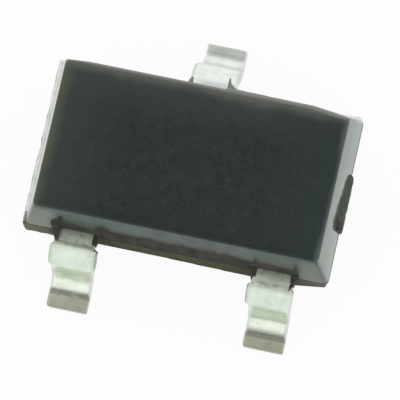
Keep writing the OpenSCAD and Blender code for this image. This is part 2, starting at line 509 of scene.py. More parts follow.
def top_finish():
    """Matt skin with the powder's grain, paler along three edges, and a painted highlight on the back rim.
    """
    finish = Finish("matt_epoxy")
    patches = finish.noise(9)
    grain = finish.noise(55, rough=0.6)
    drift = wander(finish.noise(4, detail=2), TOP_WANDER)
    across = sum_up("ADD", finish.x, drift)
    to_left = distance_to(across, -top_edge_x, -1)
    to_right = distance_to(across, top_edge_x, 1)
    to_back = distance_to(sum_up("ADD", finish.y, drift), top_edge_y, 1)
    colour = mottle(patches, *TOP_SKIN, low=0.35, high=0.65)
    for distance, broad in ((to_left, LEFT_BROAD_MARGIN), (to_back, BACK_BROAD_MARGIN), (to_right, RIGHT_BROAD_MARGIN)):
        colour = margin(colour, distance, *broad)
    colour = tint(colour, fade(grain, 0.5, 0.8), POWDER)
    # Paler margins; the one at the back is painted highlight
    for distance, pale in ((to_left, LEFT_MARGIN), (to_right, RIGHT_MARGIN), (to_back, BACK_PAINTED_HIGHLIGHT)):
        colour = margin(colour, distance, *pale)
    straight_back = distance_to(finish.y, top_edge_y, 1)
    straight_left = distance_to(finish.x, -top_edge_x, -1)
    # Painted highlight on the back rim and on its left corner
    to_rim = sum_up("MULTIPLY_ADD", fade(finish.x, RIM_TURN, top_edge_x), -RIM_LEAN, straight_back)
    colour = margin(colour, to_rim, *BACK_RIM_PAINTED_HIGHLIGHT)
    colour = margin(colour, sum_up("ADD", straight_back, straight_left), *BACK_CORNER_PAINTED_HIGHLIGHT)
    finish.set("Base Color", colour)
    finish.set("Roughness", mottle(grain, grey(0.28), grey(0.4)))
    finish.set("IOR", 1.5)
    finish.bump(grain, strength=0.5, distance=0.004)
    return finish.done()


top_material = top_finish()

# %% [markdown]
# ### Polished walls
# The walls are black and glossy. Seen at a slant they mirror the white floor and look grey, and seen
# straight on they are black. Gloss does that by itself. On the front wall painted light is laid on top:
# a painted sheen at its two ends, where it mirrors open floor, and a brownish painted shade low down
# towards the parting line, where it mirrors the floor in the body's shadow.

# %% Front wall
WALL = ((0.01, 0.026, 0.02), (0.05, 0.082, 0.068))
WALL_GLOSS = (0.82, 1.0, 0.94, 1.0)
# Painted sheen at the wall's two ends and painted shade towards the parting line, for the floor it mirrors
LEFT_AND_RIGHT_PAINTED_SHEEN = ((0.13, 0.146, 0.11), (0.092, 0.107, 0.088))
WALL_PAINTED_SHADE = ((0.047, 0.05, 0.043), (0.082, 0.083, 0.07))
PAINTED_SHEEN_CHANGE = 0.1
PAINTED_SHEEN_ENDS = (1.12, 1.25)
PAINTED_SHEEN_HEIGHTS = (1.09, 0.96)
PAINTED_SHADE_HEIGHTS = (0.95, 0.78)
BORDER_WANDER = 0.08


def front_finish():
    """Polished wall, with a painted sheen at its ends and painted shade low down towards the parting line.
    """
    finish = Finish("front_wall_epoxy")
    streaks = finish.streaks(1.5, detail=4, factors=(5, 5, 3))
    border = wander(finish.noise(5), BORDER_WANDER)
    # Masks of the painted sheen at the ends and of the painted shade towards the parting line
    ends = fade(sum_up("ADD", sum_up("ABSOLUTE", finish.x), border), *PAINTED_SHEEN_ENDS)
    ends = both(ends, fade(finish.z, *PAINTED_SHEEN_HEIGHTS))
    painted_shade = both(fade(sum_up("ADD", finish.z, border), *PAINTED_SHADE_HEIGHTS), less(ends))
    colour = mottle(streaks, *WALL)
    # Painted sheen at the ends, then painted shade low down
    paler_ends = mottle(fade(finish.x, -PAINTED_SHEEN_CHANGE, PAINTED_SHEEN_CHANGE), *LEFT_AND_RIGHT_PAINTED_SHEEN, low=0, high=1)
    colour = tint(colour, ends, paler_ends)
    colour = tint(colour, painted_shade, mottle(streaks, *WALL_PAINTED_SHADE))
    finish.set("Base Color", colour)
    # Less gloss where the shade is painted
    finish.set("Specular IOR Level", sum_up("MULTIPLY_ADD", painted_shade, -0.5, 0.5))
    finish.set("Specular Tint", WALL_GLOSS)
    finish.set("Roughness", mottle(streaks, grey(0.15), grey(0.28)))
    finish.set("IOR", 1.52)
    finish.mould_skin()
    return finish.done()


front_material = front_finish()

# %% [markdown]
# ### Ends, back and the wall below the parting line
# These walls came out of the same polished cavity. The two ends carry a paler tone with a clear film over
# it, so they are greyer than the back. The front wall below the parting line is dull, and its brownish
# colour is a painted reflection of the shadowed floor beneath it, lighter towards both ends.

# %% Ends, back and lower front wall
BLACK = ((0.012, 0.016, 0.015), (0.03, 0.036, 0.034))
BLACK_GLOSS = (0.93, 1.0, 0.97, 1.0)
# A paler tone on the two end walls
END_PALE_TONE = ((0.08, 0.09, 0.074), (0.15, 0.162, 0.14))
PALE_TONE_SOFT = 0.1
FILM_SHARE = 0.6
FILM_COLOUR = (0.88, 1.0, 0.93, 1.0)
# Painted reflection of the shadowed floor below the front wall, lighter towards both ends
LOWER_PAINTED_REFLECTION = ((0.08, 0.079, 0.054), (0.127, 0.125, 0.086))
RIGHT_PAINTED_REFLECTION = (1.05, 1.25, (0.14, 0.148, 0.122))
LEFT_PAINTED_REFLECTION = (-1.1, -1.3, (0.17, 0.18, 0.14))


def end_finish():
    """Polished wall, black where it faces the eye, with a paler tone under a clear film on the two ends."""
    finish = Finish("end_wall_epoxy")
    streaks = finish.streaks(1.5, detail=4, factors=(3, 1.5, 14))
    # A paler tone on the two end walls, above the parting line
    paler_ends = fade(sum_up("ABSOLUTE", finish.x), top_edge_x - PALE_TONE_SOFT, top_edge_x)
    paler_ends = both(paler_ends, fade(finish.z, PARTING - PALE_TONE_SOFT, PARTING))
    colour = mottle(streaks, *BLACK)
    finish.set("Base Color", tint(colour, paler_ends, mottle(streaks, *END_PALE_TONE)))
    finish.set("Roughness", mottle(streaks, grey(0.1), grey(0.2)))
    finish.set("IOR", 1.7)
    finish.set("Specular Tint", BLACK_GLOSS)
    finish.set("Coat Weight", sum_up("MULTIPLY", paler_ends, FILM_SHARE))
    finish.set("Coat Roughness", 0.1)
    finish.set("Coat Tint", FILM_COLOUR)
    finish.mould_skin()
    return finish.done()


def lower_finish():
    """The front wall below the parting line: dull, in a brownish painted reflection of the shadowed floor.
    """
    finish = Finish("lower_epoxy")
    streaks = finish.streaks(3, detail=4, factors=(4, 4, 2))
    # Painted reflection of the shadowed floor, lighter towards both ends
    colour = mottle(streaks, *LOWER_PAINTED_REFLECTION)
    colour = margin(colour, finish.x, *RIGHT_PAINTED_REFLECTION)
    finish.set("Base Color", margin(colour, finish.x, *LEFT_PAINTED_REFLECTION))
    finish.set("Roughness", 0.6)
    finish.set("Specular IOR Level", 0.0)
    return finish.done()


end_material = end_finish()
lower_material = lower_finish()

# %% [markdown]
# ### Torn resin and thin flash
# Resin that was torn off has no moulded skin, so it is dull and uneven. It is nearly black where it broke
# thick, brown where it seeped out, and pale where it feathered out thin. The flash at the parting line is
# thin enough to let light through, so part of the light passes it, most of all near its root.

# %% Torn resin and thin flash
TORN = {"broken_epoxy": ((0.045, 0.053, 0.043), (0.11, 0.122, 0.104)),
        "seeped_epoxy": ((0.03, 0.033, 0.024), (0.07, 0.074, 0.055)),
        "feathered_epoxy": ((0.2, 0.225, 0.205), (0.38, 0.41, 0.38))}
FLASH_SKIN = ((0.8, 0.8, 0.75), (0.98, 0.98, 0.94))
FLASH_CLEAR = 0.6
FLASH_CLEARER = 0.3
FLASH_ROOT = (0.018, 0.006)


def torn_finish(name, dark, light):
    """Torn resin, with no skin, so it is dull and uneven."""
    finish = Finish(name)
    cloud = finish.noise(25, detail=5)
    finish.set("Base Color", mottle(cloud, dark, light, high=0.75))
    finish.set("Roughness", 0.75)
    finish.set("Specular IOR Level", 0.25)
    finish.bump(cloud, strength=0.6, distance=0.01)
    return finish.done()


def flash_finish():
    """Flash so thin that light comes through it."""
    finish = Finish("thin_flash")
    outer, inner = (half_length + reach for reach in FLASH_ROOT)
    root = fade(sum_up("ABSOLUTE", finish.x), outer, inner)
    cloud = finish.noise(14, detail=4)
    finish.set("Base Color", mottle(cloud, *FLASH_SKIN, low=0.35, high=0.65))
    finish.set("Roughness", 0.6)
    finish.set("IOR", 1.3)
    finish.set("Transmission Weight", sum_up("MULTIPLY_ADD", root, FLASH_CLEARER, FLASH_CLEAR))
    return finish.done()


torn_materials = [torn_finish(name, *colours) for name, colours in TORN.items()]
BODY_FINISHES = (top_material, front_material, end_material, lower_material, *torn_materials, flash_finish())
TOP, FRONT, END, LOWER, BROKEN, SEEPED, FEATHERED, THIN = range(len(BODY_FINISHES))
print("finishes of the body", len(BODY_FINISHES))

# %% [markdown]
# ### Matt tin
# The leads are plated with matt tin before they are cut free and bent. So the metal is bright, and it is
# dulled where the bending tool pressed it, bare where the punch sheared it, and darkest on the cut at the
# tip. All three leads share one material, and masks tell it which lead, and which stretch of it, a point
# is on.

# %% Places on the leads
FRONT_FROM = (0.01, -0.01)
RIGHT_FROM = (0.4, 0.5)
RIGHT_SET_BACK = 0.02
BAND_WANDER = 0.015


class LeadPlaces:
    """Masks and distances that tell where on the three leads a point is."""

    def __init__(self, finish, cloud):
        self.front = fade(finish.y, *FRONT_FROM)
        self.back = less(self.front)
        self.right = fade(finish.x, *RIGHT_FROM)
        self.reach = sum_up("ABSOLUTE", finish.y)
        set_out = sum_up("MULTIPLY_ADD", self.front, BACK_SET_OUT, -BACK_SET_OUT)
        along = sum_up("ADD", sum_up("ADD", self.reach, set_out), wander(cloud, BAND_WANDER))
        self.along = sum_up("MULTIPLY_ADD", self.right, -RIGHT_SET_BACK, along)
        middle = sum_up("MULTIPLY", self.front, LEAD_PLACE)
        self.aside = sum_up("ABSOLUTE", sum_up("SUBTRACT", sum_up("ABSOLUTE", finish.x), middle))


# %% [markdown]
# ### Marks of bending
# The bending tool leaves dull bands across each lead where it pressed. Other bands are painted light:
# painted highlights on the slope, in the hollow of the lower bend and on the right lead, and painted shade
# on the shoulders under the wall. A band multiplies the colour that is there, instead of covering it, so
# the plating's own mottling stays visible.

# %% Marks of bending
# A band across a lead: from, to and soft margin, as distances out from the part's middle, and its factor
UPPER_BEND_BAND = (0.92, 1.09, 0.02, (0.93, 0.975, 0.92))
# Painted highlight in the hollow of the lower bend
HOLLOW_PAINTED_HIGHLIGHT = (1.14, 1.215, 0.02, (1.07, 1.09, 1.02))
PRESSED_BAND = (0.89, 0.915, 0.015, (0.6, 0.61, 0.57))
# Painted highlight on the upper part of the slope
SLOPE_PAINTED_HIGHLIGHT = (1.09, 1.115, 0.012, grey(1.1))
HEEL_BAND = (1.245, 1.285, 0.012, grey(0.66))
CREASE_BAND = (1.108, 1.119, 0.006, grey(0.9))
# Painted highlight across the right lead near the wall
RIGHT_PAINTED_HIGHLIGHT = (0.835, 0.865, 0.012, grey(1.14))
RIGHT_DULL_BAND = (0.89, 0.92, 0.03, grey(0.88))
BACK_SLOPE_BAND = (1.06, 1.185, 0.01, grey(0.87))
BACK_FOOT_BAND = (1.32, 1.335, 0.01, grey(0.88))

# A stretch of a lead: where it fades in or out, and its factor
# Painted shade on the front leads' shoulders under the wall
PAINTED_SHADE_UNDER_WALL = (0.84, 0.78, (0.8, 0.81, 0.77))
SHOULDER = (0.93, 0.9, (1.02, 1.03, 0.95))
FOOT = (1.22, 1.25, (0.9, 0.9, 0.79))
RIGHT_FOOT = (1.22, 1.25, (0.93, 0.93, 0.91))
# Painted highlight on the back lead next to the wall
PAINTED_HIGHLIGHT_NEAR_BACK_WALL = (0.97, 0.9, (0.9, 0.97, 0.935))
# The whole back lead painted a little brighter
BACK_LEAD_PAINTED_BRIGHTER = (1.05, 1.05, 1.06)

# What limits the marks further
SLOPE_HEIGHTS = (0.32, 0.45)
SPOTS = (0.5, 0.62)
HEEL_SPOTS = (0.3, 0.55)
SPOT_FACTOR = grey(0.8)
RIGHT_SPARED = 0.8


def band(below, source, start, end, soft, factor, *masks):
    return shade(below, both(between(source, start, end, soft), *masks), factor)


def stretch(below, source, start, end, factor, *masks):
    return shade(below, both(fade(source, start, end), *masks), factor)


def bend_front_leads(colour, finish, lead, cloud):
    """Marks of the bending tool on the two front leads, with painted highlights and painted shade."""
    colour = band(colour, lead.along, *UPPER_BEND_BAND, lead.front)
    colour = band(colour, lead.along, *PRESSED_BAND, lead.front, less(lead.right, RIGHT_SPARED))
    # Painted shade under the wall
    colour = stretch(colour, lead.reach, *PAINTED_SHADE_UNDER_WALL, lead.front)
    # Painted highlights on the slope and in the hollow
    colour = band(colour, lead.along, *SLOPE_PAINTED_HIGHLIGHT, lead.front, fade(finish.z, *SLOPE_HEIGHTS))
    colour = band(colour, lead.along, *HOLLOW_PAINTED_HIGHLIGHT, lead.front)
    colour = stretch(colour, lead.along, *SHOULDER, lead.front)
    spots = fade(finish.noise(17), *SPOTS)
    colour = shade(colour, both(spots, fade(lead.along, *SHOULDER[:2]), lead.front), SPOT_FACTOR)
    # Painted highlight on the right lead
    colour = band(colour, lead.along, *RIGHT_PAINTED_HIGHLIGHT, lead.right)
    colour = band(colour, lead.along, *RIGHT_DULL_BAND, lead.right)
    colour = band(colour, lead.along, *HEEL_BAND, lead.front, fade(cloud, *HEEL_SPOTS))
    colour = stretch(colour, lead.along, *FOOT, lead.front)
    return stretch(colour, lead.along, *RIGHT_FOOT, lead.right)


def bend_back_lead(colour, lead):
    """Bending marks on the back lead, which is painted a little brighter, with a painted highlight by the
    wall.
    """
    # The back lead painted a little brighter overall
    colour = shade(colour, lead.back, BACK_LEAD_PAINTED_BRIGHTER)
    colour = band(colour, lead.reach, *BACK_FOOT_BAND, lead.back)
    # Painted highlight next to the back wall
    start, end, pale = PAINTED_HIGHLIGHT_NEAR_BACK_WALL
    colour = tint(colour, both(fade(lead.reach, start, end), lead.back), pale)
    return band(colour, lead.along, *BACK_SLOPE_BAND, lead.back)


# %% [markdown]
# ### Marks of cutting
# The punch shears through the plating, so the sides of a lead show duller metal. The stubs of the dam bar
# were sheared further out. At the tip, where the lead was cut to length last of all, the cut is darkest.

# %% Marks of cutting, and the tin itself
TIN = ((0.715, 0.763, 0.695), (0.845, 0.897, 0.825))
STUB_SPAN = (0.9, 1.085, 0.01)
STUB_SIDE = (0.188, 0.2)
STUB_TINT = (0.88, 0.86, 0.9)
SHEARED_SIDE = (0.178, 0.192)
SHEARED_STUB = (0.212, 0.222)
SHEARED_TINT = (0.55, 0.55, 0.5)
FRINGE_SPAN = (1.13, 1.22, 0.05)
FRINGE_SIDE = (0.165, 0.18)
FRINGE_COLOUR = (0.7, 0.685, 0.72)
TIP_CUT = (0.018, 0.008)
TIP_TINT = (0.4, 0.39, 0.33)
BACK_SPARED = 0.7
STREAKS = (0.55, 0.75)
STREAK_FACTOR = grey(0.88)


def cut_edges(colour, lead):
    """Sheared sides, the stubs of the dam bar and the cut at the tip."""
    on_stub = between(lead.along, *STUB_SPAN)
    colour = shade(colour, both(fade(lead.aside, *STUB_SIDE), on_stub), STUB_TINT)
    fringe = both(between(lead.along, *FRINGE_SPAN), lead.front)
    sheared = both(fade(lead.aside, *SHEARED_SIDE), less(on_stub))
    sheared = sum_up("MAXIMUM", sheared, fade(lead.aside, *SHEARED_STUB))
    colour = shade(colour, both(sheared, less(fringe), less(lead.back, BACK_SPARED)), SHEARED_TINT)
    colour = tint(colour, both(fringe, fade(lead.aside, *FRINGE_SIDE)), FRINGE_COLOUR)
    start, end = (lead_tip - inset for inset in TIP_CUT)
    return stretch(colour, lead.reach, start, end, TIP_TINT)


def tin_finish():
    """Matt tin plating, with the marks that bending and cutting leave on it."""
    finish = Finish("matt_tin")
    cloud = finish.noise(11, detail=4)
    streaks = finish.streaks(1, detail=3, factors=(6, 22, 22))
    lead = LeadPlaces(finish, cloud)
    colour = mottle(cloud, *TIN)
    colour = shade(colour, both(fade(streaks, *STREAKS), lead.front), STREAK_FACTOR)
    colour = bend_front_leads(colour, finish, lead, cloud)
    colour = band(colour, lead.along, *CREASE_BAND)
    colour = bend_back_lead(colour, lead)
    finish.set("Base Color", cut_edges(colour, lead))
    finish.set("Metallic", 1.0)
    finish.set("Roughness", sum_up("MULTIPLY_ADD", streaks, 0.15, 0.24))
    finish.bump(streaks, strength=0.25, distance=0.004)
    return finish.done()


tin = tin_finish()

# %% [markdown]
# ## The moulded body
# The mould has two halves that meet at the parting line, so the block is widest there and its walls lean
# inwards both ways, or it would not come out. A cube is cut at that line, its top and underside are drawn
# in, and its corners and edges are rounded. A narrow ridge is left all round at the parting line, for the
# flash.

# %% Block with drafted walls
CORNER = 0.045
EDGE = 0.02
RIDGE = 0.008
LOWER_DRAFT = math.radians(6.5)
CROWN = [(0.03, 0.004), (0.035, 0.0025), (0.045, 0.001)]
rim_height = top - TOUCH - sum(rise for width, rise in CROWN)


def corner_edge(edge):
    return abs(edge.verts[0].co.z - edge.verts[1].co.z) > TOUCH


def at_level(height):
    return lambda edge: all(abs(v.co.z - height) < TOUCH for v in edge.verts)


def drafted_block():
    """Cuts a cube at the parting line, and draws its top and its underside in."""
    body = add_block("moulded_epoxy_body", (0, BODY_SHIFT, (rim_height + under) / 2),
                     (2 * half_length, 2 * HALF_WIDTH, rim_height - under))
    edit(body)
    cut((0, 0, PARTING), (0, 0, 1))
    for height, ends, sides in ((rim_height, END_DRAFT, SIDE_DRAFT), (under, LOWER_DRAFT, LOWER_DRAFT)):
        rise = abs(height - PARTING)
        pick("VERT", lambda v: abs(v.co.z - height) < TOUCH)
        factors = (1 - rise * math.tan(ends) / half_length, 1 - rise * math.tan(sides) / HALF_WIDTH, 1)
        bpy.ops.transform.resize(value=factors, center_override=(0, BODY_SHIFT, height))
    leave_edit()
    return body


def round_edges(body):
    edit(body)
    pick("EDGE", corner_edge)
    bevel_edges(CORNER, steps=6)
    for height in (rim_height, under):
        pick("EDGE", at_level(height))
        bevel_edges(EDGE, steps=4)
    pick("EDGE", at_level(PARTING))
    bevel_edges(RIDGE, steps=1)
    leave_edit()


body = drafted_block()
round_edges(body)
print("block", face_count(body), "faces,", [round(size, 3) for size in body.dimensions], "mm")

# %% [markdown]
# ## Crown and rims
# Epoxy shrinks as it cools, so the top face is not dead flat: it falls away a little towards its rim.
# Three low steps make that crown. Its rims are not dead straight either. Fine cuts across the block give
# the rims points that can be shifted, and slices take off the back corners of the top and one lower
# corner at the front.

# %% Crown and rims
LEVEL = 0.99  # how squarely a face has to look up, from 0 to 1
CUT_STEP = 0.03
EDGE_MARGIN = 0.14
HEM = [(0.17, 0.009), (0.2, 0.009), (0.35, -0.002), (0.55, -0.003), (0.75, -0.002)]
SWELL = 0.0035
SWELL_STARTS = (-0.1, 0.15, 0.4)
SLANTS = [(1, 0.95, 0.04), (-1, 1.05, 0.02)]
CHAMFER_START = 1.1
CHAMFER_DEPTH = 0.03
lower_inset = (PARTING - under) * math.tan(LOWER_DRAFT)
lower_front = front_wall + lower_inset


def spread(reach, step):
    """Gives evenly spaced places from -reach to reach."""
    count = int(reach / step)
    return [i * step for i in range(-count, count + 1)]


def near_top(vertex):
    return vertex.co.z > top - 2 * EDGE


def near_underside(vertex):
    return vertex.co.z < under + 2 * EDGE


def slice_off(*points):
    """Slices off what lies beyond the plane through three points, seen from the middle of the body."""
    first, second, third = (Vector(point) for point in points)
    normal = (second - first).cross(third - first)
    if normal.dot(first - Vector((0, BODY_SHIFT, PARTING))) < 0:
        normal.negate()
    cut_off(first, normal)


def crown_top(body):
    """Lifts the top face in low steps, each a little smaller than the one below it."""
    edit(body)
    pick("FACE", lambda f: f.normal.z > LEVEL and abs(f.calc_center_median().z - rim_height) < TOUCH)
    for width, rise in CROWN:
        draw_out(z=rise)
        bpy.ops.transform.resize(value=(1 - width / half_length, 1 - width / HALF_WIDTH, 1),
                                 center_override=(0, BODY_SHIFT, rim_height))
    leave_edit()


def shift_rims(body):
    """Cuts the block finely, and shifts the back rim of the top and the lower front rim in small steps."""
    edit(body)
    for x in spread(half_length - EDGE_MARGIN, CUT_STEP):
        cut((x, 0, 0), (1, 0, 0))
    for y in spread(HALF_WIDTH - EDGE_MARGIN, CUT_STEP):
        cut((0, BODY_SHIFT + y, 0), (0, 1, 0))
    for start, shift in HEM:
        pick("VERT", lambda v: v.co.x > start and v.co.y > top_edge_y - EDGE and near_top(v))
        bpy.ops.transform.translate(value=(0, shift, 0))
    for start in SWELL_STARTS:
        pick("VERT", lambda v: v.co.x > start and v.co.y < lower_front + EDGE and near_underside(v))
        bpy.ops.transform.translate(value=(0, -SWELL, 0))
    leave_edit()


def slice_corners(body):
    edit(body)
    for way, start, depth in SLANTS:
        rim_y = max(v.co.y for v in bmesh.from_edit_mesh(body.data).verts
                    if near_top(v) and abs(v.co.x - way * start) < CUT_STEP)
        slice_off((way * start, rim_y, top), (way * top_edge_x, top_edge_y - depth, top),
                  (way * half_length, back_wall, PARTING))
    slice_off((CHAMFER_START, lower_front - SWELL * len(SWELL_STARTS), under),
              (half_length - lower_inset, lower_front + CHAMFER_DEPTH, under),
              (half_length, front_wall, PARTING))
    leave_edit()


crown_top(body)
shift_rims(body)
slice_corners(body)
print("crowned body", face_count(body), "faces")

# %% [markdown]
# ## Finishes on the faces
# The faces get their finishes by the way they face: level ones the matt top, upright ones the polished
# walls, and of the front wall the half below the parting line its own dull one.

# %% Finishes on the faces
STEEP = 0.5
FORWARD = 0.7
HALF_FORWARD = 0.3


def upright_face(face):
    return abs(face.normal.z) < STEEP


def in_front_below(face):
    below = face.calc_center_median().z < PARTING + RIDGE / 2
    return below and face.normal.y < -HALF_FORWARD and face.normal.z > -STEEP


for material in BODY_FINISHES:
    body.data.materials.append(material)
edit(body)
print("wall faces", give_finish(END, upright_face))
print("front wall faces", give_finish(FRONT, lambda f: upright_face(f) and f.normal.y < -FORWARD))
print("front wall's lower faces", give_finish(LOWER, in_front_below))
leave_edit()

# %% [markdown]
# ## Flash at the parting line
# Where the two halves of the mould don't quite close, resin creeps out between them and hardens as a
# ragged hem. Here it is a thin strip along the left end and the back, and hardly a ridge elsewhere. The
# ridge's own faces are pushed outwards, and noise tears the strip's edge.

# %% Flash
FLASH_REACH = 0.003
FLASH_STRIP = 0.02
FLASH_TEAR = 0.024
FLASH_NOISE = 0.1
RIDGE_TILT = 0.2
OUTWARD = 0.9


def on_ridge(face):
    return abs(face.calc_center_median().z - PARTING) < RIDGE / 2 and abs(face.normal.z) < RIDGE_TILT


def draw_strip(body, axis, way):
    """Draws the ridge out on one side of the body, and tears the strip's edge."""
    edit(body)
    count = pick("FACE", lambda f: on_ridge(f) and way * f.normal[axis] > OUTWARD)
    push = [0, 0, 0]
    push[axis] = way * FLASH_STRIP
    draw_out(*push)
    bpy.ops.object.vertex_group_add()
    bpy.ops.object.vertex_group_assign()
    root = max(way * v.co[axis] for v in body.data.vertices)
    give_finish(THIN, lambda f: way * f.calc_center_median()[axis] > root - FLASH_REACH)
    leave_edit()
    finish_modifier(body, "DISPLACE", texture=noise_texture("flash", FLASH_NOISE, depth=3),
                    direction="XYZ"[axis], vertex_group=body.vertex_groups[-1].name,
                    strength=FLASH_TEAR, mid_level=0.5)
    return count


edit(body)
ridge_faces = pick("FACE", on_ridge)
bpy.ops.mesh.extrude_region_shrink_fatten(TRANSFORM_OT_shrink_fatten={"value": FLASH_REACH})
leave_edit()
print("ridge faces", ridge_faces)
print("left strip", draw_strip(body, 0, -1), "back strip", draw_strip(body, 1, 1))
print("left end at", round(min(v.co.x for v in body.data.vertices), 4))

# %% [markdown]
# ## Resin between lead and dam bar
# While the mould fills, a dam bar between the leads stops the resin. What sets in the corner between
# lead, wall and bar is left as a web when the bar is punched out: dark at the front, and feathered out
# thin at the back. Each web is a block that tapers along the lead, and most lap a little over its edge. A
# voxel remesh gives it an even skin, noise breaks it up, and a boolean makes it one with the body.

# %% Resin webs
WEB_TIP_WIDTH = 0.2
WEB_TIP_HEIGHT = 0.8
WEB_ROOT = 0.05
WEB_GRAIN = (0.008, 0.016, 0.006)
COARSE_NOISE = 0.08
FINE_NOISE = 0.025


def roughen(piece, grain, slot):
    """Turns a plain block into a broken lump: an even skin first, then a coarse and a fine noise."""
    voxel, coarse, fine = grain
    finish_modifier(piece, "REMESH", mode="VOXEL", voxel_size=voxel)
    finish_modifier(piece, "DISPLACE", texture=noise_texture("coarse", COARSE_NOISE), strength=coarse)
    finish_modifier(piece, "DISPLACE", texture=noise_texture("fine", FINE_NOISE), strength=fine)
    piece.data.materials.clear()
    for material in BODY_FINISHES:
        piece.data.materials.append(material)
    edit(piece)
    give_finish(slot, lambda f: True)
    leave_edit()


def resin_web(lead_x, side, way, lap, width, length, height, slot):
    """Models a web of resin that starts at the wall, beside a lead, and tapers out along it."""
    wall = back_wall if way > 0 else -front_wall
    root = wall - WEB_ROOT
    reach = length + WEB_ROOT
    edge_x = lead_x + side * (LEAD_WIDTH / 2 - lap)
    middle = Vector((edge_x + side * width / 2, way * (root + reach / 2), frame_under + height / 2))
    web = add_block("web", middle, (width, reach, height))
    edit(web)
    pick("VERT", lambda v: way * v.co.y > root + reach - TOUCH)
    bpy.ops.transform.resize(value=(WEB_TIP_WIDTH, 1, WEB_TIP_HEIGHT),
                             center_override=(edge_x, middle.y, frame_under))
    leave_edit()
    roughen(web, WEB_GRAIN, slot)
    return web


def join(body, lump):
    """Fuses a lump with the body, so that both are one skin."""
    finish_modifier(body, "BOOLEAN", operation="UNION", object=lump, solver="EXACT")
    bpy.data.objects.remove(lump)


# Lead, its side, front (-1) or back (1), lap over the lead, width, length, height and finish
WEBS = [(-LEAD_PLACE, -1, -1, 0.035, 0.1, 0.12, 0.25, SEEPED),
        (-LEAD_PLACE, 1, -1, 0.035, 0.09, 0.13, 0.15, SEEPED),
        (LEAD_PLACE, -1, -1, 0.035, 0.11, 0.14, 0.15, SEEPED),
        (LEAD_PLACE, 1, -1, 0.035, 0.085, 0.14, 0.15, SEEPED),
        (0, -1, 1, 0.0, 0.085, 0.09, 0.14, FEATHERED),
        (0, 1, 1, 0.06, 0.07, 0.14, 0.16, FEATHERED),
        (0, 1, 1, 0.06, 0.2, 0.08, 0.16, FEATHERED)]
for web_row in WEBS:
    join(body, resin_web(*web_row))
print("body with webs", face_count(body))

# %% [markdown]
# ## Lump under the front left corner
# Flash also ran down under the parting line at this corner, so the corner looks fuller from above than
# the drafted wall would leave it. The lump is a small block, drawn in at its lower end.

# %% Corner lump
LUMP_LOW = (-1.48, -0.784, 0.31)
LUMP_HIGH = (-1.16, -0.66, 0.57)
LUMP_TAPER = 0.96
LUMP_GRAIN = (0.01, 0.01, 0.006)


def corner_lump():
    low, high = Vector(LUMP_LOW), Vector(LUMP_HIGH)
    lump = add_block("lump", (low + high) / 2, high - low)
    edit(lump)
    pick("VERT", lambda v: v.co.z < low.z + TOUCH)
    bpy.ops.transform.resize(value=(LUMP_TAPER, LUMP_TAPER, 1), center_override=high)
    leave_edit()
    roughen(lump, LUMP_GRAIN, LOWER)
    return lump


join(body, corner_lump())
print("body with lump", face_count(body))

# %% [markdown]
# ## The gate scar
# The resin runs into the mould through a gate at one end. The set stub is snapped off, and leaves a low
# broken lump on the wall. It begins as a slab with its ends rounded off, is cut to a wedge that thins out
# upwards, loses its upper front corner, and is roughened like the webs.

# %% Gate scar
GATE_PLACE = 0.005
GATE_WIDTH = 0.57
GATE_REACH = 0.026
GATE_FRONT = 0.28
GATE_BACK = 0.07
GATE_DEPTH = 0.1
GATE_UNDER = 0.02
GATE_ROUND = 0.035
GATE_LIP = 0.06
GATE_NIP = 0.17
GATE_GRAIN = (0.012, 0.018, 0.006)


def gate_scar():
    tall = GATE_FRONT + GATE_UNDER
    slab_x = half_length + (GATE_REACH - GATE_DEPTH) / 2
    scar = add_block("scar", (slab_x, GATE_PLACE, PARTING - GATE_UNDER + tall / 2),
                     (GATE_REACH + GATE_DEPTH, GATE_WIDTH, tall))
    edit(scar)
    pick("EDGE", lambda e: corner_edge(e) and e.verts[0].co.x > half_length)
    bevel_edges(GATE_ROUND, steps=5)
    middle = (GATE_FRONT + GATE_BACK) / 2
    sunk = middle * math.tan(END_DRAFT)
    lean = (middle - GATE_LIP) / (GATE_REACH + sunk)
    slant = (GATE_FRONT - GATE_BACK) / GATE_WIDTH * (1 - lean * math.tan(END_DRAFT))
    cut_off((half_length - sunk, GATE_PLACE, PARTING + middle), (lean, slant, 1))
    cut_off((0, GATE_PLACE - GATE_WIDTH / 2, PARTING + GATE_FRONT - GATE_NIP), (0, -1, 1))
    leave_edit()
    print("scar", [round(size, 3) for size in scar.dimensions])
    roughen(scar, GATE_GRAIN, BROKEN)
    return scar


def right_end():
    return round(max(v.co.x for v in body.data.vertices), 4)


join(body, gate_scar())
print("body with scar", face_count(body), "right end at", right_end())

# %% [markdown]
# ## Trimming and cleaning the block
# The scar may not stand out further than the solid's end, so what the noise pushed past it is trimmed
# off. Joining rough skins also leaves crumbs: faces with no area and edges with no length, where two
# skins nearly meet. With all faces cut into triangles such crumbs can be told from real faces, and they
# are dissolved. Last, the seams between torn resin and polished wall are marked sharp, or the wall's
# gloss would smear across them.

# %% Trim and clean
TRIM = 0.001
CRUMB = 0.001


def torn_seam(edge):
    slots = {face.material_index for face in edge.link_faces}
    return len(slots) > 1 and bool(slots & {BROKEN, SEEPED, FEATHERED})


edit(body)
cut_off((body_high.x - TRIM, 0, 0), (1, 0, 0))
pick_all()
bpy.ops.mesh.quads_convert_to_tris()
bpy.ops.mesh.dissolve_degenerate(threshold=CRUMB)
seams = pick("EDGE", torn_seam)
bpy.ops.mesh.mark_sharp()
leave_edit()
print("clean body", face_count(body), "sharp seams", seams, "right end at", right_end())

# %% [markdown]
# ## The formed leads
# A lead is a strip of sheet, punched out and bent twice. It is modelled the same way: the strip's
# section, with its edges rolled round by the punch, is drawn out level, spun round the upper bend, drawn
# down the slope, spun back round the lower bend and drawn out as the foot. Every lead is formed pointing
# to the back, and the front ones are then turned round.

